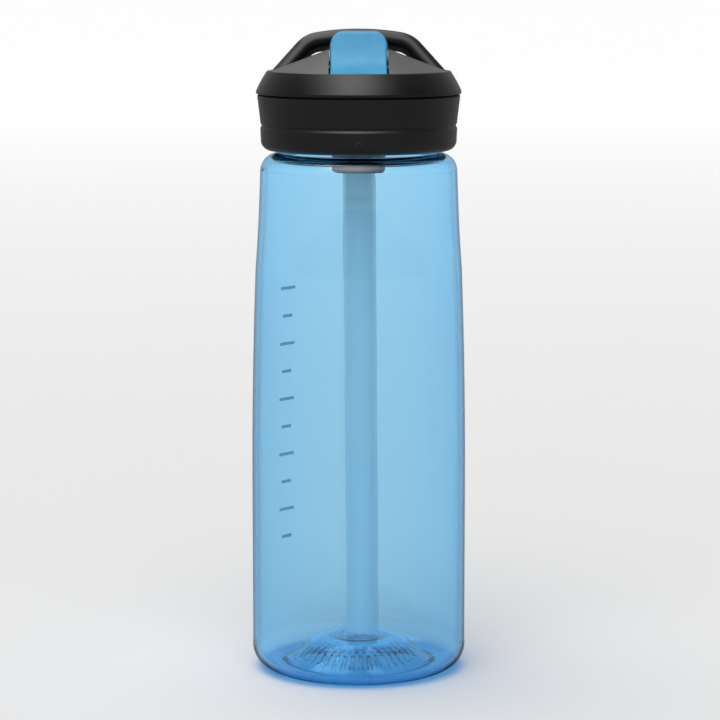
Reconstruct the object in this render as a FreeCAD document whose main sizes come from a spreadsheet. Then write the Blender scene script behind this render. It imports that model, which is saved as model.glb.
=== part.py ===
"""Clear sports water bottle with a screw cap, carry arch, straw and flip-up bite valve.

Frame: millimetres, +Z up along the bottle's axis, origin at the centre of the standing ring,
the bite valve points to -Y, and +X is to the right when the valve faces the viewer.
"""
import FreeCAD, Part
import os
import re

import Sketcher
from FreeCAD import Rotation, Vector

# alias, value in millimetres or degrees, meaning
DIMENSIONS = [
    ("body_radius", 40.2, "cylindrical lower body"),
    ("body_wall", 1.8, "wall of the body"),
    ("ring_outer", 31.8, "standing ring, outer edge"),
    ("ring_inner", 27.8, "standing ring, inner edge"),
    ("heel_height", 10.5, "height of the rounded heel"),
    ("base_wall", 2.0, "wall of the base"),
    ("punt_flat", 10.7, "radius of the flat middle of the pushed-up base"),
    ("punt_height", 10.0, "height of that middle above the table"),
    ("punt_round", 13.11, "radius of the dome's shoulder, underneath"),
    ("punt_slope", 48.4, "steepest slope of the dome, degrees"),
    ("punt_foot_round", 17.13, "radius of the hollow between dome and ring, underneath"),
    ("punt_foot_slope", 23.8, "slope of that hollow beside the ring, degrees"),
    ("straight_top", 70.0, "top of the cylindrical stretch"),
    ("bow_height", 152.0, "end of the long bowed stretch"),
    ("bow_radius", 38.6, "radius there"),
    ("waist_height", 177.0, "end of the hollow stretch"),
    ("waist_radius", 37.15, "radius there"),
    ("shoulder_height", 188.7, "start of the round shoulder"),
    ("shoulder_radius", 36.7, "radius there"),
    ("shoulder_round", 6.5, "radius of the shoulder's corner"),
    ("neck_radius", 30.1, "outside of the neck"),
    ("neck_wall", 2.4, "wall of the neck"),
    ("mouth_height", 212.0, "rim of the mouth"),
    ("thread_pitch", 5.0, "lift of the cap in one turn"),
    ("thread_rise", 6.25, "height of each thread, one turn and a quarter"),
    ("thread_start", 199.7, "middle of the bottle's thread where it starts"),
    ("thread_crest", 31.8, "bottle's thread, outer radius"),
    ("thread_tip", 1.5, "width of a thread's crest"),
    ("thread_flank", 0.45, "how much wider each side of a thread is at its root"),
    ("collar_top", 216.8, "upper edge of the collar"),
    ("collar_top_radius", 37.7, "its radius"),
    ("collar_bottom", 196.2, "lower edge of the collar"),
    ("collar_bore", 32.3, "inside of the threaded skirt"),
    ("collar_thread_crest", 30.5, "collar's thread, inner radius"),
    ("skirt_wall", 1.9, "wall of the threaded skirt"),
    ("band_top", 204.7, "top of the lower grip band"),
    ("band_radius", 36.6, "radius of that band at its top"),
    ("band_foot", 199.8, "where the band rounds off"),
    ("groove_height", 1.0, "height of the groove above the band"),
    ("groove_depth", 0.45, "depth of that groove"),
    ("deck_bottom", 213.6, "underside of the collar's deck"),
    ("deck_wall", 2.0, "thickness of the deck"),
    ("socket_radius", 10.0, "outside of the straw socket"),
    ("socket_bore", 8.0, "inside of the straw socket"),
    ("socket_bottom", 188.5, "lower end of the straw socket"),
    ("straw_radius", 6.15, "outside of the straw"),
    ("straw_wall", 1.1, "wall of the straw"),
    ("straw_bottom", 13.6, "lower end of the straw"),
    ("straw_top", 211.0, "upper end of the straw"),
    ("straw_lean", 0.42, "lean of the straw to the right, degrees"),
    ("gasket_gap", 0.05, "gap over and under the gasket"),
    ("gasket_inner", 27.9, "gasket, inner radius"),
    ("gasket_outer", 32.0, "gasket, outer radius"),
    ("flange_radius", 38.1, "widest part of the flange"),
    ("flange_bottom", 217.2, "underside of the flange"),
    ("rim_height", 225.5, "top of the flange"),
    ("rim_radius", 33.7, "outer edge of its flat top"),
    ("rim_bore", 32.6, "inner edge of its flat top"),
    ("tongue_bottom", 210.4, "lower end of the flange's tongue"),
    ("tongue_radius", 34.3, "inside of the tongue"),
    ("arch_lean", 22.0, "backward lean of the carry arch, degrees"),
    ("arch_foot_y", 8.0, "where the arch stands, front to back"),
    ("arch_foot_x", 30.8, "middle of a leg at its lower end"),
    ("arch_foot_depth", 4.0, "how far the legs reach below the rim"),
    ("arch_rise", 12.4, "middle of the arch above the rim, in its own plane"),
    ("arch_crown", 88.0, "radius of the arch's flat top"),
    ("arch_bend", 9.6, "radius of the bend between top and leg"),
    ("arch_thickness", 6.4, "section of the arch, in its own plane"),
    ("arch_width", 9.2, "section of the arch, front to back"),
    ("arch_round", 3.0, "corner radius of that section"),
    ("housing_radius", 32.4, "outside of the spout housing"),
    ("housing_bottom", 215.8, "underside of the housing"),
    ("housing_peak", 233.5, "top of the cheeks"),
    ("housing_peak_radius", 11.0, "radius there"),
    ("housing_wall", 2.0, "wall of the housing"),
    ("rear_deck", 221.0, "height of the sunk deck behind the cheeks"),
    ("cheek_back", 3.0, "rear face of the cheeks"),
    ("channel_half_width", 10.9, "half width of the valve's channel"),
    ("channel_floor", 217.3, "floor of that channel"),
    ("pivot_y", -3.5, "spout pivot, front to back"),
    ("pivot_z", 229.0, "spout pivot, height"),
    ("hub_radius", 7.0, "turning hub"),
    ("hub_half_length", 10.65, "half length of the hub"),
    ("stem_angle", 15.0, "how far the stowed spout points below level, degrees"),
    ("stem_radius", 3.3, "outside of the nozzle"),
    ("stem_length", 17.0, "nozzle's reach from the pivot"),
    ("flow_radius", 2.2, "flow bore"),
    ("pin_radius", 1.6, "stub axle"),
    ("pin_inner", 6.6, "inner end of a stub axle"),
    ("pin_outer", 14.6, "outer end of a stub axle"),
    ("pin_clearance", 0.05, "radial play of the hub on its axles"),
    ("boss_radius", 3.4, "pivot boss inside a cheek"),
    ("valve_half_width", 10.35, "half width of the bite valve"),
    ("valve_reach", 26.8, "radius of the valve's tip about the pivot"),
    ("valve_corner", 5.0, "corner radius of the valve's hood, seen from the front"),
    ("valve_edge", 0.8, "rounding of the valve's edges"),
    ("hood_top", 240.3, "crest of the valve's hood"),
    ("slit_half_width", 6.5, "half width of the valve's slit"),
    ("slit_gap", 0.5, "height of the slit"),
    ("port_radius", 3.2, "port through the deck and its seal"),
    ("seal_radius", 5.0, "outside of the port seal"),
    ("seal_gap", 0.15, "gap between the port seal and the hub"),
    ("vent_y", 18.5, "place of the vent valve"),
    ("vent_hole", 1.5, "hole for the vent valve's stem"),
    ("vent_disc", 5.0, "radius of the vent valve's disc"),
]

ALIASES = {alias for alias, _, _ in DIMENSIONS}

doc = FreeCAD.newDocument("water_bottle")
sheet = doc.addObject("Spreadsheet::Sheet", "Dims")
for row, (alias, value, meaning) in enumerate(DIMENSIONS, start=1):
    sheet.set(f"A{row}", meaning)
    sheet.set(f"B{row}", str(value))
    sheet.setAlias(f"B{row}", alias)
doc.recompute()


def bound(formula):
    """The formula with every dimension's name made a reference to the sheet."""
    return re.sub(r"[a-z][a-z_]+", lambda m: f"Dims.{m[0]}" if m[0] in ALIASES else m[0], str(formula))


def size(formula):
    """The formula's value in millimetres or degrees."""
    return float(sheet.evalExpression(bound(formula)))


def bind(target, **formulas):
    """Bind properties to formulas; a double underscore in a name stands for a dot."""
    for name, formula in formulas.items():
        target.setExpression(name.replace("__", "."), bound(formula))


def body(name):
    made = doc.addObject("PartDesign::Body", name)
    made.Label = name
    return made


def closed_sketch(owner, name, plane, corners):
    """A closed outline on one of the body's own planes.

    Each corner is (x, y) for a straight side that ends there, or (x, y, via_x, via_y) for an arc
    through the via point. All of them are formulas. The first corner closes the outline.
    """
    sketch = owner.newObject("Sketcher::SketchObject", name)
    origin_plane = next(f for f in owner.Origin.OriginFeatures if f.Role == plane)
    sketch.AttachmentSupport = (origin_plane, [""])
    sketch.MapMode = "FlatFace"
    places = [Vector(size(c[0]), size(c[1]), 0) for c in corners]
    ends = []
    for number, corner in enumerate(corners):
        start, end = places[number - 1], places[number]
        if len(corner) == 2:
            index = sketch.addGeometry(Part.LineSegment(start, end))
            ends.append((index, 1, 2))
            continue
        via = Vector(size(corner[2]), size(corner[3]), 0)
        index = sketch.addGeometry(Part.Arc(start, via, end))
        forward = sketch.getPoint(index, 1).distanceToPoint(start) < 1e-4
        ends.append((index, 1, 2) if forward else (index, 2, 1))
        point = sketch.addGeometry(Part.Point(via), True)
        fix(sketch, point, 1, corner[2], corner[3])
        sketch.addConstraint(Sketcher.Constraint("PointOnObject", point, 1, index))
    for number, corner in enumerate(corners):
        index, _, last = ends[number]
        following, first, _ = ends[(number + 1) % len(ends)]
        sketch.addConstraint(Sketcher.Constraint("Coincident", index, last, following, first))
        fix(sketch, index, last, corner[0], corner[1])
    return sketch


def fix(sketch, index, point, x, y):
    """Hold a point of the sketch at two bound distances from the origin."""
    for kind, formula in (("DistanceX", x), ("DistanceY", y)):
        number = sketch.addConstraint(Sketcher.Constraint(kind, -1, 1, index, point, size(formula)))
        sketch.setExpression(f"Constraints[{number}]", bound(formula))


def revolve(owner, name, corners):
    """A full turn of an outline, given as (radius, height), about Z."""
    sketch = closed_sketch(owner, f"{name}_outline", "XZ_Plane", corners)
    feature = owner.newObject("PartDesign::Revolution", name)
    feature.Profile = sketch
    feature.ReferenceAxis = (sketch, ["V_Axis"])
    feature.Angle = 360
    return feature


def helix(owner, name, corners):
    """A thread: its section, given as (radius, height), is swept up a right-hand helix."""
    sketch = closed_sketch(owner, f"{name}_section", "XZ_Plane", corners)
    feature = owner.newObject("PartDesign::AdditiveHelix", name)
    feature.Profile = sketch
    feature.ReferenceAxis = (sketch, ["V_Axis"])
    feature.Mode = "pitch-height-angle"
    bind(feature, Pitch="thread_pitch", Height="thread_rise")
    return feature


def pad(owner, name, plane, corners, depth):
    """An outline made solid, half of the depth on each side of its plane."""
    sketch = closed_sketch(owner, f"{name}_outline", plane, corners)
    feature = owner.newObject("PartDesign::Pad", name)
    feature.Profile = sketch
    feature.SideType = "Symmetric"
    bind(feature, Length=depth)
    return feature


def box(name, low, high):
    """A block between two corners, given as formulas."""
    made = doc.addObject("Part::Box", name)
    bind(made, Length=f"{high[0]} - ({low[0]})", Width=f"{high[1]} - ({low[1]})",
         Height=f"{high[2]} - ({low[2]})")
    bind(made, Placement__Base__x=low[0], Placement__Base__y=low[1], Placement__Base__z=low[2])
    return made


def cylinder(name, radius, length, start, rotation=None):
    """A cylinder from its start point, along Z or turned by the rotation."""
    made = doc.addObject("Part::Cylinder", name)
    made.Placement.Rotation = rotation or Rotation()
    bind(made, Radius=radius, Height=length)
    bind(made, Placement__Base__x=start[0], Placement__Base__y=start[1], Placement__Base__z=start[2])
    return made


def cut(name, base, tool):
    made = doc.addObject("Part::Cut", name)
    made.Base = base
    made.Tool = tool
    return made


def joined(name, shapes):
    made = doc.addObject("Part::MultiFuse", name)
    made.Shapes = shapes
    return made


def common(name, shapes):
    made = doc.addObject("Part::MultiCommon", name)
    made.Shapes = shapes
    return made


ALONG_X = Rotation(Vector(0, 1, 0), 90)
ALONG_MINUS_X = Rotation(Vector(0, 1, 0), -90)


def along_stem(back=False):
    """Turns Z to the stowed nozzle's direction, or to the opposite one."""
    angle = 90 + size("stem_angle")
    return Rotation(Vector(1, 0, 0), angle - 180 if back else angle)


def make_bottle_body():
    """Blow-moulded bottle: standing ring, push-up base, bowed body, round shoulder, threaded neck."""
    bottle = body("bottle_body")
    inner_neck = "neck_radius - neck_wall"
    arc_45 = "0.7071"

    def dome(slope, thickness):
        """A point of the dome's shoulder where it has that slope."""
        spread = f"(punt_round + {thickness})"
        return (f"punt_flat + {spread} * sin({slope})",
                f"punt_height - punt_round + {spread} * cos({slope})")

    def hollow(slope, thickness):
        """A point of the hollow that joins the dome to the ring."""
        spread = f"(punt_foot_round - {thickness})"
        middle_x = "punt_flat + (punt_round + punt_foot_round) * sin(punt_slope)"
        middle_z = "punt_height - punt_round + (punt_round + punt_foot_round) * cos(punt_slope)"
        return f"{middle_x} - {spread} * sin({slope})", f"{middle_z} - {spread} * cos({slope})"

    half_slope = "(punt_slope / 2)"
    foot_middle = "((punt_slope + punt_foot_slope) / 2)"
    corners = [
        ("0", "punt_height + base_wall"),
        ("0", "punt_height"),
        ("punt_flat", "punt_height"),
        (*dome("punt_slope", "0"), *dome(half_slope, "0")),
        (*hollow("punt_foot_slope", "0"), *hollow(foot_middle, "0")),
        ("ring_inner", "0"),
        ("ring_outer", "0"),
        ("body_radius", "heel_height", "body_radius - 2.3", "2.9"),
        ("body_radius", "straight_top"),
        ("bow_radius", "bow_height", "body_radius - 0.4", "111"),
        ("waist_radius", "waist_height", "waist_radius + 0.55", "165"),
        ("shoulder_radius", "shoulder_height"),
        ("neck_radius", "shoulder_height + shoulder_round",
         f"neck_radius + shoulder_round * {arc_45}", f"shoulder_height + shoulder_round * {arc_45}"),
        ("neck_radius", "mouth_height - 0.5"),
        ("neck_radius - 0.5", "mouth_height"),
        (f"{inner_neck} + 0.5", "mouth_height"),
        (inner_neck, "mouth_height - 0.5"),
        (inner_neck, "shoulder_height + shoulder_round"),
        ("neck_radius", "shoulder_height + shoulder_round - body_wall",
         f"{inner_neck} + 0.7", "shoulder_height + shoulder_round - 1.2"),
        ("shoulder_radius - body_wall", "shoulder_height",
         f"neck_radius + (shoulder_round - body_wall) * {arc_45}",
         f"shoulder_height + (shoulder_round - body_wall) * {arc_45}"),
        ("waist_radius - body_wall", "waist_height"),
        ("bow_radius - body_wall", "bow_height", "waist_radius - body_wall + 0.55", "165"),
        ("body_radius - body_wall", "straight_top", "body_radius - body_wall - 0.4", "111"),
        ("body_radius - body_wall", "heel_height"),
        ("ring_outer - 0.4", "base_wall", "body_radius - body_wall - 1.9", "4.3"),
        ("ring_inner + 1.9", "base_wall"),
        ("ring_inner + 1.1", "base_wall + 0.2"),
        hollow("punt_foot_slope", "base_wall"),
        (*dome("punt_slope", "base_wall"), *hollow(foot_middle, "base_wall")),
        ("punt_flat", "punt_height + base_wall", *dome(half_slope, "base_wall")),
    ]
    revolve(bottle, "wall", corners)
    half = "thread_tip / 2"
    section = [
        ("neck_radius - 0.8", f"thread_start - {half} - thread_flank"),
        ("neck_radius", f"thread_start - {half} - thread_flank"),
        ("thread_crest", f"thread_start - {half}"),
        ("thread_crest", f"thread_start + {half}"),
        ("neck_radius", f"thread_start + {half} + thread_flank"),
        ("neck_radius - 0.8", f"thread_start + {half} + thread_flank"),
    ]
    helix(bottle, "neck_thread", section)
    return bottle


def make_cap_collar():
    """Lower cap moulding: grip skirt, threaded skirt, deck with port and vent, straw socket."""
    shell = doc.addObject("PartDesign::Body", "collar_shell")
    skirt = "collar_bore + skirt_wall"
    deck_top = "deck_bottom + deck_wall"
    groove = "band_radius - groove_depth"
    corners = [
        ("0", "deck_bottom"),
        ("0", deck_top),
        (skirt, deck_top),
        (skirt, "band_top + 2"),
        (f"{skirt} + 0.7", "band_top + 2"),
        ("collar_top_radius - 1.6", "collar_top"),
        ("collar_top_radius - 0.4", "collar_top"),
        ("collar_top_radius", "collar_top - 0.4"),
        ("band_radius - 0.1", "band_top + groove_height + 0.5"),
        (groove, "band_top + groove_height"),
        (groove, "band_top + 0.5"),
        ("band_radius - 0.15", "band_top"),
        ("band_radius", "band_top - 0.3"),
        ("band_radius - 0.2", "band_foot"),
        ("band_radius - 3.8", "collar_bottom", "band_radius - 1.3", "collar_bottom + 1.05"),
        ("collar_bore", "collar_bottom"),
        ("collar_bore", "deck_bottom"),
        ("socket_radius", "deck_bottom"),
        ("socket_radius", "socket_bottom + 1.2"),
        ("socket_radius - 0.8", "socket_bottom"),
        ("socket_bore", "socket_bottom"),
        ("socket_bore", "deck_bottom"),
    ]
    revolve(shell, "collar_wall", corners)
    half = "thread_tip / 2"
    middle = "thread_start - thread_pitch / 2"
    section = [
        ("collar_bore + 0.8", f"{middle} - {half} - thread_flank"),
        ("collar_bore", f"{middle} - {half} - thread_flank"),
        ("collar_thread_crest", f"{middle} - {half}"),
        ("collar_thread_crest", f"{middle} + {half}"),
        ("collar_bore", f"{middle} + {half} + thread_flank"),
        ("collar_bore + 0.8", f"{middle} + {half} + thread_flank"),
    ]
    helix(shell, "collar_thread", section)
    deck_low = "deck_bottom - 1"
    depth = "deck_wall + 2"
    holes = [
        cylinder("deck_port", "port_radius", depth, ("0", "pivot_y", deck_low)),
        cylinder("vent_stem_hole", "vent_hole", depth, ("0", "vent_y", deck_low)),
    ]
    for number, side in enumerate((-1, 1), start=1):
        place = (f"{side} * (vent_hole + 1.6)", "vent_y", deck_low)
        holes.append(cylinder(f"vent_passage_{number}", "0.8", depth, place))
    return cut("cap_collar", shell, joined("collar_holes", holes))


def make_cap_gasket():
    """Flat silicone ring between the mouth's rim and the deck."""
    gasket = body("cap_gasket")
    low = "mouth_height + gasket_gap"
    high = "deck_bottom - gasket_gap"
    revolve(gasket, "gasket_ring", [("gasket_inner", low), ("gasket_outer", low),
                                    ("gasket_outer", high), ("gasket_inner", high)])
    return gasket


def make_handle_shroud():
    """Upper cap moulding: flange ring with the carry arch over its rear half."""
    ring = doc.addObject("PartDesign::Body", "flange_ring")
    corners = [
        ("collar_top_radius - 1.7", "flange_bottom"),
        ("flange_radius", "flange_bottom"),
        ("flange_radius", "flange_bottom + 1"),
        ("rim_radius + 0.6", "rim_height - 0.4", "flange_radius - 1.35", "flange_bottom + 3.8"),
        ("rim_radius", "rim_height", "rim_radius + 0.4", "rim_height - 0.1"),
        ("rim_bore", "rim_height"),
        ("rim_bore", "rim_height - 2.9"),
        ("tongue_radius", "flange_bottom + 2.2"),
        ("tongue_radius", "tongue_bottom"),
        ("tongue_radius + 0.9", "tongue_bottom"),
    ]
    revolve(ring, "flange", corners)

    arch = doc.addObject("PartDesign::Body", "arch")
    half = "arch_thickness / 2"
    side = "arch_width / 2"
    inset = "arch_round * 0.2929"
    top = f"arch_rise + {half}"
    low = f"arch_rise - {half}"
    section = closed_sketch(arch, "arch_section", "YZ_Plane", [
        (f"-{side} + arch_round", top),
        (f"-{side}", f"{top} - arch_round", f"-{side} + {inset}", f"{top} - {inset}"),
        (f"-{side}", f"{low} + arch_round"),
        (f"-{side} + arch_round", low, f"-{side} + {inset}", f"{low} + {inset}"),
        (f"{side} - arch_round", low),
        (side, f"{low} + arch_round", f"{side} - {inset}", f"{low} + {inset}"),
        (side, f"{top} - arch_round"),
        (f"{side} - arch_round", top, f"{side} - {inset}", f"{top} - {inset}"),
    ])
    pipe = arch.newObject("PartDesign::AdditivePipe", "arch_half")
    pipe.Profile = section
    pipe.Spine = arch_path(arch)
    mirrored = arch.newObject("PartDesign::Mirrored", "arch_whole")
    mirrored.Originals = [pipe]
    mirrored.MirrorPlane = (next(f for f in arch.Origin.OriginFeatures if f.Role == "YZ_Plane"), [""])
    arch.Tip = mirrored
    arch.Placement.Rotation = Rotation(Vector(1, 0, 0), -size("arch_lean"))
    bind(arch, Placement__Base__y="arch_foot_y", Placement__Base__z="rim_height")
    return joined("handle_shroud", [ring, arch])


def arch_path(owner):
    """Middle line of the arch's right half: flat crown, bend and leg, each tangent to the next."""
    sketch = owner.newObject("Sketcher::SketchObject", "arch_path")
    sketch.AttachmentSupport = (next(f for f in owner.Origin.OriginFeatures if f.Role == "XZ_Plane"), [""])
    sketch.MapMode = "FlatFace"
    crown_radius, bend_radius, rise = size("arch_crown"), size("arch_bend"), size("arch_rise")
    start, near, far = Vector(0, rise, 0), Vector(15, rise - 1.3, 0), Vector(21.6, rise - 5.4, 0)
    foot = Vector(size("arch_foot_x"), -size("arch_foot_depth"), 0)
    crown = sketch.addGeometry(Part.Arc(start, Vector(7.5, rise - 0.3, 0), near))
    bend = sketch.addGeometry(Part.Arc(near, Vector(18.8, rise - 2.7, 0), far))
    leg = sketch.addGeometry(Part.LineSegment(far, foot))

    def end_at(index, place):
        return 1 if sketch.getPoint(index, 1).distanceToPoint(place) < 1e-4 else 2

    crown_start, crown_end = end_at(crown, start), end_at(crown, near)
    bend_start, bend_end = end_at(bend, near), end_at(bend, far)
    sketch.addConstraint(Sketcher.Constraint("Tangent", crown, crown_end, bend, bend_start))
    sketch.addConstraint(Sketcher.Constraint("Tangent", bend, bend_end, leg, 1))
    sketch.addConstraint(Sketcher.Constraint("PointOnObject", crown, 3, -2))
    fix(sketch, crown, crown_start, "0", "arch_rise")
    fix(sketch, leg, 2, "arch_foot_x", "-arch_foot_depth")
    for index, radius, alias in ((crown, crown_radius, "arch_crown"), (bend, bend_radius, "arch_bend")):
        number = sketch.addConstraint(Sketcher.Constraint("Radius", index, radius))
        sketch.setExpression(f"Constraints[{number}]", bound(alias))
    return sketch


def cheek_dome(name, inset):
    """The housing's outer cone with its sunk rear deck, moved in by the inset on every side."""
    cone = doc.addObject("PartDesign::Body", f"{name}_cone")
    slope = "(housing_peak - rim_height) / (housing_radius - housing_peak_radius)"
    corners = [
        ("0", f"housing_bottom - {inset} / 2"),
        (f"housing_radius - {inset}", f"housing_bottom - {inset} / 2"),
        (f"housing_radius - {inset}", f"rim_height - 0.1 - {inset} * 0.7"),
        ("housing_peak_radius", f"housing_peak - {inset} * 1.07"),
        ("0", f"housing_peak - {inset} * 1.07"),
    ]
    revolve(cone, f"{name}_turn", corners)
    back = box(f"{name}_back", ("-40", f"cheek_back - {inset}", f"rear_deck - {inset}"),
               ("40", "40", "250"))
    return cut(name, cone, back)


def make_spout_housing():
    """Inner cap moulding: two sloping cheeks, the valve's channel, pivot bosses and the rear deck."""
    outer = cheek_dome("housing_outer", "0")
    inner = cheek_dome("housing_inner", "housing_wall")
    shell = cut("housing_shell", outer, inner)
    half = "channel_half_width"
    wall = f"({half} + housing_wall)"
    walls = box("channel_walls", (f"-{wall}", "-40", "housing_bottom"), (wall, "cheek_back", "250"))
    bosses = [
        cylinder("boss_right", "boss_radius", "4.6", (half, "pivot_y", "pivot_z"), ALONG_X),
        cylinder("boss_left", "boss_radius", "4.6", (f"-{half}", "pivot_y", "pivot_z"), ALONG_MINUS_X),
    ]
    inside = common("housing_inside", [outer, joined("housing_ribs", [walls, *bosses])])
    solid = joined("housing_solid", [shell, inside])
    channel = box("channel", (f"-{half}", "-40", "channel_floor"), (half, "cheek_back + 1", "250"))
    port = cylinder("housing_port", "seal_radius + 0.2", "4", ("0", "pivot_y", "housing_bottom - 1"))
    bores = [
        cylinder("bore_right", "pin_radius", "pin_outer", ("0", "pivot_y", "pivot_z"), ALONG_X),
        cylinder("bore_left", "pin_radius", "pin_outer", ("0", "pivot_y", "pivot_z"), ALONG_MINUS_X),
    ]
    leg_room = doc.getObject("arch")
    return cut("spout_housing", solid, joined("housing_cuts", [channel, port, *bores, leg_room]))


def make_port_seal():
    """Silicone ring on the deck's port with a saddle for the hub."""
    ring = doc.addObject("PartDesign::Body", "seal_ring")
    low = "deck_bottom + deck_wall"
    revolve(ring, "seal_turn", [("port_radius", low), ("seal_radius", low),
                                ("seal_radius", "pivot_z"), ("port_radius", "pivot_z")])
    bind(ring, Placement__Base__y="pivot_y")
    saddle = cylinder("seal_saddle", "hub_radius + seal_gap", "30", ("-15", "pivot_y", "pivot_z"), ALONG_X)
    return cut("port_seal", ring, saddle)


def make_spout_hub():
    """Turning hub with its nozzle and the straight flow bore through both."""
    length = "hub_half_length"
    pivot = ("0", "pivot_y", "pivot_z")
    barrel = cylinder("hub_barrel", "hub_radius", f"2 * {length}", (f"-{length}", "pivot_y", "pivot_z"), ALONG_X)
    nozzle = cylinder("hub_nozzle", "stem_radius", "stem_length", pivot, along_stem())
    cuts = [
        cylinder("flow_front", "flow_radius", "stem_length + 5", pivot, along_stem()),
        cylinder("flow_back", "flow_radius", "hub_radius + 5", pivot, along_stem(back=True)),
    ]
    depth = f"{length} - pin_inner + 1.3"
    for side, turn, sign in (("right", ALONG_X, ""), ("left", ALONG_MINUS_X, "-")):
        start = (f"{sign}(pin_inner - 0.3)", "pivot_y", "pivot_z")
        cuts.append(cylinder(f"axle_bore_{side}", "pin_radius + pin_clearance", depth, start, turn))
    return cut("spout_hub", joined("hub_solid", [barrel, nozzle]), joined("hub_cuts", cuts))


def make_bite_valve():
    """Soft mouthpiece: a thumb hood over the hub and a flat tongue whose tip has a slit."""
    side = doc.addObject("PartDesign::Body", "valve_side")
    reach = "valve_reach"
    top = "7.6"
    low = "23"
    tip_top = (f"pivot_y - {reach} * cos({top})", f"pivot_z - {reach} * sin({top})")
    tip_low = (f"pivot_y - {reach} * cos({low})", f"pivot_z - {reach} * sin({low})")
    tip_mid = (f"pivot_y - {reach} * cos(15)", f"pivot_z - {reach} * sin(15)")
    corners = [
        ("pivot_y + 3.6", "pivot_z + 5.9"),
        ("pivot_y - 0.8", "hood_top - 1.2"),
        ("pivot_y - 5.9", "hood_top - 1.6", "pivot_y - 3.6", "hood_top"),
        ("pivot_y - 8.6", "pivot_z + 6"),
        ("pivot_y - 23.5", "pivot_z - 2.8", "pivot_y - 15.3", "pivot_z + 0.15"),
        tip_top,
        (*tip_low, *tip_mid),
        ("pivot_y - 8.6", "pivot_z - 6.2"),
        ("pivot_y - 6", "pivot_z - 5.35"),
        ("pivot_y - 5.6", "pivot_z - 4.1"),
        ("pivot_y", "pivot_z - 3"),
    ]
    pad(side, "valve_slab", "YZ_Plane", corners, "2 * valve_half_width")

    front = doc.addObject("PartDesign::Body", "valve_front")
    half = "valve_half_width"
    corner = "valve_corner"
    inset = f"{corner} * 0.2929"
    outline = [
        (half, "channel_floor"),
        (half, f"hood_top - {corner}"),
        (f"{half} - {corner}", "hood_top", f"{half} - {inset}", f"hood_top - {inset}"),
        (f"-({half} - {corner})", "hood_top"),
        (f"-{half}", f"hood_top - {corner}", f"-({half} - {inset})", f"hood_top - {inset}"),
        (f"-{half}", "channel_floor"),
    ]
    pad(front, "valve_tombstone", "XZ_Plane", outline, "80")
    raw = common("valve_raw", [side, front])
    doc.recompute()
    rounded = doc.addObject("Part::Fillet", "valve_rounded")
    rounded.Base = raw
    back = size("pivot_y") + 1.0
    radius = size("valve_edge")
    picked = []
    for number, edge in enumerate(raw.Shape.Edges, start=1):
        if edge.BoundBox.YMin < back and edge.BoundBox.ZMax > size("pivot_z") - 2.5:
            picked.append((number, radius, radius))
    rounded.Edges = picked
    doc.recompute()
    pivot = ("0", "pivot_y", "pivot_z")
    hub_room = cylinder("valve_hub_room", "hub_radius + 0.02", "30", ("-15", "pivot_y", "pivot_z"), ALONG_X)
    stem_room = cylinder("valve_stem_room", "stem_radius + 0.02", "stem_length + 0.3", pivot, along_stem())
    return cut("bite_valve", rounded, joined("valve_cuts", [hub_room, stem_room, make_slit()]))


def make_slit():
    """The thin cut through the mouthpiece's tip, in line with the nozzle."""
    slit = doc.addObject("PartDesign::Body", "valve_slit")
    corners = []
    near, far = "stem_length", "(valve_reach + 2)"
    for along, across in ((near, -1), (far, -1), (far, 1), (near, 1)):
        y = f"pivot_y - {along} * cos(stem_angle) + {across} * slit_gap / 2 * sin(stem_angle)"
        z = f"pivot_z - {along} * sin(stem_angle) - {across} * slit_gap / 2 * cos(stem_angle)"
        corners.append((y, z))
    pad(slit, "slit_cut", "YZ_Plane", corners, "2 * slit_half_width")
    return slit


def make_straw():
    """Plain tube that leans a little, from the cap's socket to just above the base."""
    length = "straw_top - straw_bottom"
    lean = Rotation(Vector(0, 1, 0), 180 - size("straw_lean"))
    start = ("0", "0", "straw_top")
    outside = cylinder("straw_outside", "straw_radius", length, start, lean)
    inside = cylinder("straw_inside", "straw_radius - straw_wall", f"{length} + 2", start, lean)
    return cut("straw", outside, inside)


def make_straw_grommet():
    """Silicone bush that fills the socket round the straw."""
    bush = doc.addObject("PartDesign::Body", "grommet_bush")
    low = "socket_bottom + 0.4"
    high = "straw_top - 1"
    core = "straw_radius - straw_wall"
    revolve(bush, "grommet_turn", [(core, low), ("socket_bore - 0.02", low),
                                   ("socket_bore - 0.02", high), (core, high)])
    return cut("straw_grommet", bush, doc.getObject("straw_outside"))


def make_vent_valve():
    """Silicone umbrella valve: a thin disc under the deck on a stem that the deck holds."""
    valve = body("vent_valve")
    low = "deck_bottom"
    high = "deck_bottom + deck_wall"
    corners = [
        ("0", f"{low} - 1.3"),
        ("vent_disc", f"{low} - 0.5"),
        ("vent_disc", low),
        ("vent_hole - 0.05", low),
        ("vent_hole - 0.05", high),
        ("vent_hole + 0.5", f"{high} + 0.1"),
        ("vent_hole + 0.5", f"{high} + 0.7"),
        ("0", f"{high} + 1.6"),
    ]
    revolve(valve, "vent_turn", corners)
    bind(valve, Placement__Base__y="vent_y")
    return valve


def make_pivot_pin(side, turn, sign):
    """Stub axle fixed in one cheek, on which the hub turns."""
    start = (f"{sign}pin_inner", "pivot_y", "pivot_z")
    return cylinder(f"pivot_pin_{side}", "pin_radius", "pin_outer - pin_inner", start, turn)


nodes = [
    make_bottle_body(),
    make_cap_gasket(),
    make_cap_collar(),
    make_handle_shroud(),
    make_spout_housing(),
    make_port_seal(),
    make_vent_valve(),
    make_straw(),
    make_straw_grommet(),
    make_spout_hub(),
    make_bite_valve(),
    make_pivot_pin("right", ALONG_X, ""),
    make_pivot_pin("left", ALONG_MINUS_X, "-"),
]
doc.recompute()

failed = [o.Name for o in doc.Objects if {"Invalid", "Error"} & set(o.State)]
if failed:
    raise RuntimeError(f"these objects failed: {', '.join(failed)}")

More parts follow.
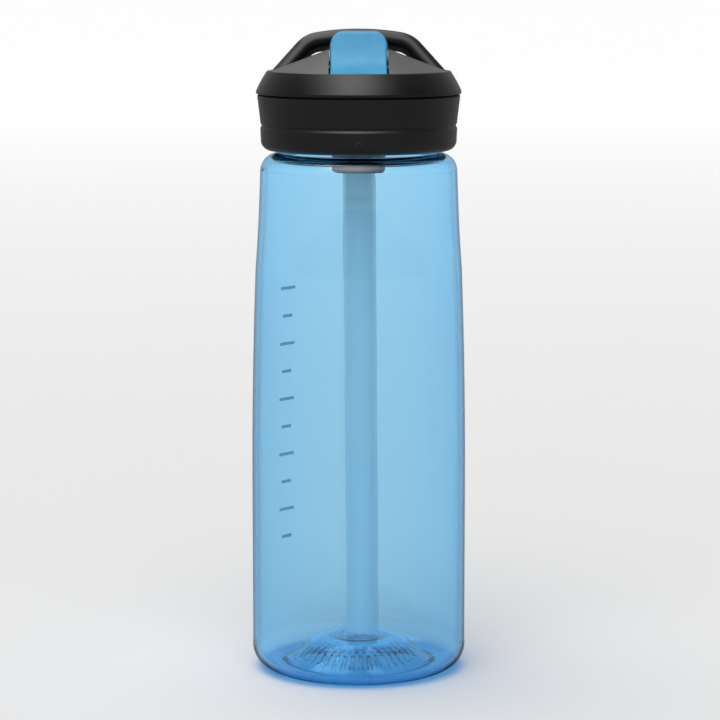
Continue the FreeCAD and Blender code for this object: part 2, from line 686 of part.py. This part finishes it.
os.makedirs("parts", exist_ok=True)
for node in nodes:
    node.Label = node.Name
    shape = node.Shape
    if shape.isNull() or not shape.isValid() or not shape.Solids:
        raise RuntimeError(f"{node.Label} has no valid solid")
    shape.exportStep(f"parts/{node.Label}.step")
    bounds = shape.optimalBoundingBox()
    print(f"{node.Label}: {len(shape.Solids)} solid, {shape.Volume / 1000:.2f} cm3,"
          f" x {bounds.XMin:.1f} to {bounds.XMax:.1f}, y {bounds.YMin:.1f} to {bounds.YMax:.1f},"
          f" z {bounds.ZMin:.1f} to {bounds.ZMax:.1f}")
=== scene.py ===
"""Looks of the clear sports bottle: materials, fine marks, floor, light and camera."""

import math

import bmesh
import bpy
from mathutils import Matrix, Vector
from mathutils.bvhtree import BVHTree


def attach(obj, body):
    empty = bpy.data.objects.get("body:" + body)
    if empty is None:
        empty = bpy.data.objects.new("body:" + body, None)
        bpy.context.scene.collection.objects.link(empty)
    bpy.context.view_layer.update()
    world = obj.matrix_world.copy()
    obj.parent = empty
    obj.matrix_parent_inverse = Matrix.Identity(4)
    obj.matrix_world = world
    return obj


# Colours, linear.
WHITE = (1.0, 1.0, 1.0)
NOTHING = (0.0, 0.0, 0.0)
BLACK = (0.0035, 0.0035, 0.0038)
BLACK_LIGHTER = (0.0055, 0.0055, 0.006)
# Painted light, in part: a grey well above the cap's near-black, which brightens the housing's
# upward-facing cheeks as light from above would.
PAINTED_TOPLIGHT_GREY = (0.038, 0.038, 0.0385)
PAINTED_TOPLIGHT_GREY_LIGHTER = (0.050, 0.050, 0.0505)
MARK_GREY = (0.020, 0.020, 0.021)
MARK_GREY_LIGHTER = (0.028, 0.028, 0.029)
# Painted shade: the deep blue that the glass turns where its wall is seen edge-on.
PAINTED_EDGE_SHADE = (0.12, 0.28, 0.40)
SHADOW_TINT = (0.90, 0.87, 0.82)

# Radial ribs under the base, in metres.
RIB_COUNT = 44.0
RIB_INNER, RIB_OUTER, RIB_CEILING, RIB_FADE = 0.0185, 0.0250, 0.0125, 0.001

# Plain marks up the body, about 50 ml apart, and the alignment mark on the cap's lower band.
SCALE_ANGLE = math.radians(137.0)
SCALE_MARKS, SCALE_START, SCALE_STEP = 10, 0.0444, 0.0108
LONG_MARK, SHORT_MARK, MARK_TALL, MARK_FACETS = 0.0085, 0.0055, 0.0012, 12
PRINT_LIFTS = (0.00006, 0.00014)
FRONT = -math.pi / 2
BAND_RADIUS = 0.0366
CHEVRON_LIFTS = (-0.0002, 0.0003)
CHEVRON_FOOT = 0.2002

# Floor and lamp.
FLOOR_RADIUS, FLOOR_DROP = 80.0, 0.0002
# Distances over which the floor's painted light grows from darker to paler.
FLOOR_NEAR, FLOOR_FAR = 0.4, 3.6
MIRROR_DIMMING = 0.65
LAMP_ENERGY = 1.8
LAMP_ANGLE = math.radians(50.0)
LAMP_DIRECTION = Vector((-0.5, 0.6, 3.0))

# The camera: where it looks, how far off it stands and how far it looks down.
AIM = Vector((0.00047, 0.0, 0.1172))
DISTANCE = 1.053
TILT = math.radians(8.1)

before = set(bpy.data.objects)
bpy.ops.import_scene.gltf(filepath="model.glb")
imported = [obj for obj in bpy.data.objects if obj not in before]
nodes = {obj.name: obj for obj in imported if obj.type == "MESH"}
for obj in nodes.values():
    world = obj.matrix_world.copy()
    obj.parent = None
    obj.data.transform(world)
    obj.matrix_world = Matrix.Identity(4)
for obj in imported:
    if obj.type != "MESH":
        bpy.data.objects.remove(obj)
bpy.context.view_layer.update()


# ---- shader helpers ----

class Shader:
    """A material or world with short ways to add and join its nodes."""

    def __init__(self, owner):
        owner.use_nodes = True
        self.tree = owner.node_tree
        self.tree.nodes.clear()

    def add(self, kind, settings=None, **inputs):
        made = self.tree.nodes.new(f"ShaderNode{kind}")
        for name, value in (settings or {}).items():
            setattr(made, name, value)
        for name, value in inputs.items():
            self.put(made, name.replace("_", " "), value)
        return made

    def put(self, node, name, value):
        socket = next(s for s in node.inputs if s.name == name and s.enabled)
        if isinstance(value, bpy.types.NodeSocket):
            self.tree.links.new(value, socket)
        elif hasattr(value, "__len__") and len(value) == 3 and socket.type == "RGBA":
            socket.default_value = (*value, 1.0)
        else:
            socket.default_value = value

    def math(self, operation, a, b=0.0, clamp=False):
        made = self.add("Math", {"operation": operation, "use_clamp": clamp})
        for index, value in enumerate((a, b)):
            if isinstance(value, bpy.types.NodeSocket):
                self.tree.links.new(value, made.inputs[index])
            else:
                made.inputs[index].default_value = value
        return made.outputs[0]

    def spread(self, value, low, high, to_low=0.0, to_high=1.0):
        made = self.add("MapRange", From_Min=low, From_Max=high, To_Min=to_low, To_Max=to_high)
        self.tree.links.new(value, made.inputs["Value"])
        return made.outputs["Result"]

    def blend(self, factor, a, b):
        made = self.add("Mix", {"data_type": "RGBA"}, Factor=factor)
        for name, value in (("A", a), ("B", b)):
            self.put(made, name, value)
        return next(s for s in made.outputs if s.name == "Result" and s.enabled)

    def place(self):
        return self.add("TexCoord").outputs["Object"]

    def noise(self, scale, detail=2.0, roughness=0.5, stretch=None):
        where = self.place()
        if stretch:
            where = self.add("Mapping", Vector=where, Scale=stretch).outputs["Vector"]
        made = self.add("TexNoise", Vector=where, Scale=scale, Detail=detail, Roughness=roughness)
        return made.outputs[0]

    def bump(self, height, depth, strength=1.0, after=None):
        made = self.add("Bump", Height=height, Distance=depth, Strength=strength)
        if after is not None:
            self.put(made, "Normal", after)
        return made.outputs["Normal"]

    def finish(self, surface, volume=None):
        out = self.add("OutputMaterial", Surface=surface)
        if volume is not None:
            self.put(out, "Volume", volume)


def material(name):
    made = bpy.data.materials.new(name)
    return made, Shader(made)


def moulded_plastic(name, colour, lighter, roughness, grain=2600.0, depth=0.00003, shine=0.3):
    """Dark polypropylene with the fine spark-eroded texture of its mould."""
    made, s = material(name)
    cloud = s.noise(38.0, detail=3.0)
    fine = s.noise(grain, detail=2.0, roughness=0.6)
    tone = s.blend(s.spread(cloud, 0.35, 0.7), colour, lighter)
    gloss = s.math("ADD", s.spread(cloud, 0.3, 0.7, roughness - 0.03, roughness + 0.03),
                   s.spread(fine, 0.3, 0.7, -0.03, 0.03))
    normal = s.bump(fine, depth, 0.35)
    shader = s.add("BsdfPrincipled", Base_Color=tone, Roughness=gloss, IOR=1.5,
                   Specular_IOR_Level=shine, Normal=normal)
    s.finish(shader.outputs[0])
    return made


def clear_plastic(name):
    """Tinted copolyester with ribs under the base; the tint is in the wall, so the base is deeper."""
    made, s = material(name)
    ripple = s.noise(14.0, detail=1.0, stretch=(1.0, 1.0, 0.35))
    axes = s.add("SeparateXYZ", Vector=s.place()).outputs
    radius = s.math("POWER", s.math("ADD", s.math("MULTIPLY", axes["X"], axes["X"]),
                                    s.math("MULTIPLY", axes["Y"], axes["Y"])), 0.5)
    spokes = s.math("SINE", s.math("MULTIPLY", s.math("ARCTAN2", axes["Y"], axes["X"]), RIB_COUNT))
    ring = s.math("MULTIPLY", s.spread(radius, RIB_INNER, RIB_INNER + RIB_FADE),
                  s.spread(radius, RIB_OUTER, RIB_OUTER - RIB_FADE))
    ring = s.math("MULTIPLY", ring, s.spread(axes["Z"], RIB_CEILING, RIB_CEILING - RIB_FADE))
    ridges = s.math("MULTIPLY", ring, s.spread(spokes, 0.1, 0.5))
    normal = s.bump(ridges, 0.0005, 0.7, after=s.bump(ripple, 0.0006, 0.25))
    rough = s.spread(s.noise(60.0, detail=3.0), 0.35, 0.7, 0.012, 0.03)
    # Painted shade: the glass's colour deepens to dark blue where the wall is seen edge-on, standing in
    # for its darker edges.
    grazing = s.add("LayerWeight", Blend=0.5).outputs["Facing"]
    edge = s.blend(s.spread(grazing, 0.70, 0.95), WHITE, PAINTED_EDGE_SHADE)
    glass = s.add("BsdfPrincipled", Base_Color=edge, Roughness=rough, IOR=1.56,
                  Transmission_Weight=1.0, Normal=normal)
    # Rays from lamps pass straight through, so that the bottle's shadow is pale.
    through = s.add("BsdfTransparent", Color=SHADOW_TINT)
    lamps = s.add("LightPath").outputs["Is Shadow Ray"]
    mix = s.add("MixShader", Fac=lamps)
    s.tree.links.new(glass.outputs[0], mix.inputs[1])
    s.tree.links.new(through.outputs[0], mix.inputs[2])
    tint = s.add("VolumeAbsorption", Color=(0.043, 0.695, 0.983), Density=300.0)
    s.finish(mix.outputs[0], tint.outputs[0])
    return made


def straw_plastic(name):
    """Translucent tube: milky and satin, so that what is behind it shows only faintly."""
    made, s = material(name)
    cloud = s.noise(90.0, detail=2.0, stretch=(1.0, 1.0, 0.1))
    tone = s.blend(s.spread(cloud, 0.35, 0.65), (0.82, 0.95, 0.99), (0.86, 0.97, 1.0))
    rough = s.spread(cloud, 0.3, 0.7, 0.30, 0.42)
    shader = s.add("BsdfPrincipled", Base_Color=tone, Roughness=rough, IOR=1.49, Alpha=0.34)
    s.finish(shader.outputs[0])
    return made


def silicone(name, colour, deeper, roughness, glow):
    """Soft silicone: satin with a faint cloudiness and light that goes a little way in."""
    made, s = material(name)
    cloud = s.noise(120.0, detail=3.0)
    fine = s.noise(2200.0, detail=1.0)
    tone = s.blend(s.spread(cloud, 0.35, 0.65), deeper, colour)
    gloss = s.spread(s.noise(260.0, detail=2.0), 0.3, 0.7, roughness - 0.05, roughness + 0.05)
    shader = s.add("BsdfPrincipled", Base_Color=tone, Roughness=gloss, IOR=1.42,
                   Subsurface_Weight=glow, Subsurface_Radius=(0.5, 0.8, 1.0), Subsurface_Scale=0.0015,
                   Normal=s.bump(fine, 0.00002, 0.3))
    s.finish(shader.outputs[0])
    return made


def drawn_steel(name):
    made, s = material(name)
    lines = s.noise(900.0, detail=2.0, stretch=(0.05, 1.0, 1.0))
    tone = s.blend(s.spread(lines, 0.3, 0.7), (0.50, 0.50, 0.52), (0.66, 0.66, 0.67))
    gloss = s.spread(lines, 0.3, 0.7, 0.26, 0.38)
    shader = s.add("BsdfPrincipled", Base_Color=tone, Metallic=1.0, Roughness=gloss,
                   Normal=s.bump(lines, 0.00001, 0.3))
    s.finish(shader.outputs[0])
    return made


def print_ink(name):
    made, s = material(name)
    speck = s.noise(1500.0, detail=3.0)
    tone = s.blend(s.spread(speck, 0.4, 0.65), (0.66, 0.72, 0.70), (0.72, 0.77, 0.74))
    gloss = s.spread(speck, 0.3, 0.7, 0.45, 0.6)
    shader = s.add("BsdfPrincipled", Base_Color=tone, Roughness=gloss, Alpha=0.6)
    s.finish(shader.outputs[0])
    return made


def wear(obj, made):
    for place in obj.material_slots:
        place.material = made


LOOKS = {
    "bottle_body": clear_plastic("look_clear_blue"),
    "straw": straw_plastic("look_straw"),
    "cap_collar": moulded_plastic("look_collar", BLACK, BLACK_LIGHTER, 0.40, shine=0.5),
    "handle_shroud": moulded_plastic("look_shroud", BLACK, BLACK_LIGHTER, 0.36, shine=0.45),
    # Painted light, in part: the housing's lighter grey stands in for top light on its upward-facing
    # cheeks.
    "spout_housing": moulded_plastic("look_housing", PAINTED_TOPLIGHT_GREY, PAINTED_TOPLIGHT_GREY_LIGHTER, 0.48, shine=1.0),
    "spout_hub": moulded_plastic("look_hub", BLACK, BLACK_LIGHTER, 0.34),
    "bite_valve": silicone("look_blue_silicone", (0.026, 0.28, 0.50), (0.020, 0.25, 0.455), 0.46, 0.25),
    "cap_gasket": silicone("look_gasket", (0.62, 0.66, 0.69), (0.56, 0.60, 0.64), 0.5, 0.3),
}
LOOKS["straw_grommet"] = silicone("look_grommet", (0.05, 0.055, 0.06), (0.04, 0.044, 0.05), 0.5, 0.0)
LOOKS["port_seal"] = LOOKS["vent_valve"] = LOOKS["cap_gasket"]
LOOKS["pivot_pin_right"] = LOOKS["pivot_pin_left"] = drawn_steel("look_pin_steel")
for node_name, look in LOOKS.items():
    wear(nodes[node_name], look)


# ---- fine marks ----

def new_object(name, mesh, look, body):
    obj = bpy.data.objects.new(name, mesh)
    bpy.context.scene.collection.objects.link(obj)
    mesh.materials.append(look)
    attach(obj, body)
    return obj


def surface_of(node_name):
    mesh = nodes[node_name].data
    return BVHTree.FromPolygons([v.co.copy() for v in mesh.vertices],
                                [tuple(p.vertices) for p in mesh.polygons])


def on_wall(tree, angle, height, lift):
    """The point on the outer wall at an angle about the axis, lifted off it."""
    out = Vector((math.cos(angle), math.sin(angle), 0.0))
    hit, _, _, _ = tree.ray_cast(out * 0.2 + Vector((0, 0, height)), -out)
    return hit + out * lift


def wrapped_patch(bm, tree, angle, width, height, tall, steps):
    """A thin closed patch that follows the wall: width and tall in metres."""
    radius = on_wall(tree, angle, height, 0.0).to_2d().length
    rows = []
    for lift in PRINT_LIFTS:
        for up in (-0.5, 0.5):
            row = []
            for i in range(steps + 1):
                turn = angle + (i / steps - 0.5) * width / radius
                row.append(bm.verts.new(on_wall(tree, turn, height + up * tall, lift)))
            rows.append(row)
    inner_low, inner_high, outer_low, outer_high = rows
    for a, b in ((outer_low, outer_high), (inner_high, inner_low),
                 (inner_low, outer_low), (outer_high, inner_high)):
        for i in range(steps):
            bm.faces.new((a[i], a[i + 1], b[i + 1], b[i]))
    for i in (0, steps):
        bm.faces.new((inner_low[i], inner_high[i], outer_high[i], outer_low[i]))


wall = surface_of("bottle_body")
scale_mesh = bpy.data.meshes.new("volume_scale")
bm = bmesh.new()
for step in range(SCALE_MARKS):
    wrapped_patch(bm, wall, SCALE_ANGLE, LONG_MARK if step % 2 == 1 else SHORT_MARK,
                  SCALE_START + step * SCALE_STEP, MARK_TALL, MARK_FACETS)
bmesh.ops.recalc_face_normals(bm, faces=bm.faces)
bm.to_mesh(scale_mesh)
bm.free()
new_object("volume_scale", scale_mesh, print_ink("look_ink"), "bottle")

band = surface_of("cap_collar")
mark_mesh = bpy.data.meshes.new("alignment_mark")
bm = bmesh.new()
wide, tall, stroke = 0.0016, 0.0015, 0.0005
outline = [(-wide, 0.0), (stroke - wide, 0.0), (0.0, tall - 1.3 * stroke),
           (wide - stroke, 0.0), (wide, 0.0), (0.0, tall)]
loops = []
for lift in CHEVRON_LIFTS:
    loops.append([bm.verts.new(on_wall(band, FRONT + x / BAND_RADIUS, CHEVRON_FOOT + z, lift))
                  for x, z in outline])
bm.faces.new(loops[0][::-1])
bm.faces.new(loops[1])
for i in range(len(outline)):
    j = (i + 1) % len(outline)
    bm.faces.new((loops[0][i], loops[0][j], loops[1][j], loops[1][i]))
bmesh.ops.recalc_face_normals(bm, faces=bm.faces)
bm.to_mesh(mark_mesh)
bm.free()
mark = new_object("alignment_mark", mark_mesh,
                  moulded_plastic("look_mark", MARK_GREY, MARK_GREY_LIGHTER, 0.34, shine=0.6),
                  "cap")
soften = mark.modifiers.new("soft_edges", "BEVEL")
soften.width = 0.0001
soften.segments = 2


# ---- floor, light and camera ----

floor_mesh = bpy.data.meshes.new("floor")
bm = bmesh.new()
bmesh.ops.create_circle(bm, cap_ends=True, segments=96, radius=FLOOR_RADIUS)
bm.to_mesh(floor_mesh)
bm.free()
floor = bpy.data.objects.new("floor", floor_mesh)
floor.location.z = -FLOOR_DROP
bpy.context.scene.collection.objects.link(floor)
paper, s = material("paper")
# Painted light and shade: the floor is darker near the bottle (0.65) and paler far off (0.80), for
# light that is brighter further back.
reach = s.add("VectorMath", {"operation": "LENGTH"}, Vector=s.place()).outputs["Value"]
near = s.blend(s.noise(7.0, detail=2.0), (0.64, 0.64, 0.64), (0.65, 0.65, 0.65))
tone = s.blend(s.spread(reach, FLOOR_NEAR, FLOOR_FAR), near, (0.80, 0.80, 0.80))
path = s.add("LightPath").outputs
# What the black cap mirrors of the floor is dimmed; what is seen through the clear body isn't.
mirrored = s.math("SUBTRACT", path["Is Glossy Ray"], path["Is Transmission Ray"], clamp=True)
tone = s.blend(s.math("MULTIPLY", mirrored, MIRROR_DIMMING), tone, NOTHING)
s.finish(s.add("BsdfPrincipled", Base_Color=tone, Roughness=0.85, Specular_IOR_Level=0.1).outputs[0])
floor_mesh.materials.append(paper)

world = bpy.data.worlds.new("studio")
bpy.context.scene.world = world
s = Shader(world)
where = s.add("TexCoord").outputs["Generated"]


def glow(azimuth, elevation, reach, strength):
    """A soft bank of light in the room; azimuth 0 is the camera's side, positive to the right."""
    turn, rise = math.radians(azimuth), math.radians(elevation)
    aim = (math.sin(turn) * math.cos(rise), -math.cos(turn) * math.cos(rise), math.sin(rise))
    facing = s.add("VectorMath", {"operation": "DOT_PRODUCT"})
    s.tree.links.new(where, facing.inputs[0])
    facing.inputs[1].default_value = aim
    away = s.math("ARCCOSINE", facing.outputs["Value"])
    bank = s.add("MapRange", {"interpolation_type": "SMOOTHSTEP"}, From_Min=math.radians(reach),
                 From_Max=0.0, To_Min=0.0, To_Max=strength)
    s.tree.links.new(away, bank.inputs["Value"])
    return bank.outputs["Result"]


# The camera, and what it sees straight through the clear body, get a pale backdrop.
# All other rays get the room, which is darker on the camera's side.
path = s.add("LightPath")
straight = s.math("LESS_THAN", path.outputs["Diffuse Depth"], 0.5)
through = s.math("MULTIPLY", path.outputs["Is Transmission Ray"], straight)
seen = s.math("MAXIMUM", path.outputs["Is Camera Ray"], through)
room = s.spread(s.add("SeparateXYZ", Vector=where).outputs["Y"], -0.1, 0.9, 0.07, 0.42)
room = s.math("ADD", room, glow(-10.0, 54.0, 42.0, 4.6))
pale = s.add("Background", Color=(0.95, 0.95, 0.95), Strength=1.0)
lit = s.add("Background", Color=WHITE, Strength=room)
mix = s.add("MixShader", Fac=seen)
s.tree.links.new(lit.outputs[0], mix.inputs[1])
s.tree.links.new(pale.outputs[0], mix.inputs[2])
s.tree.links.new(mix.outputs[0], s.add("OutputWorld").inputs["Surface"])

lamp = bpy.data.lights.new("overhead", "SUN")
lamp.energy = LAMP_ENERGY
lamp.angle = LAMP_ANGLE
overhead = bpy.data.objects.new("overhead", lamp)
overhead.rotation_euler = LAMP_DIRECTION.to_track_quat("Z", "Y").to_euler()
bpy.context.scene.collection.objects.link(overhead)

camera_data = bpy.data.cameras.new("camera")
camera_data.lens = 140.0
camera_data.sensor_width = 36.0
camera_data.clip_end = 50.0
camera = bpy.data.objects.new("camera", camera_data)
bpy.context.scene.collection.objects.link(camera)
camera.location = AIM + DISTANCE * Vector((0.0, -math.cos(TILT), math.sin(TILT)))
camera.rotation_euler = (math.pi / 2 - TILT, 0.0, 0.0)
bpy.context.scene.camera = camera
bpy.context.scene.view_settings.view_transform = "Standard"
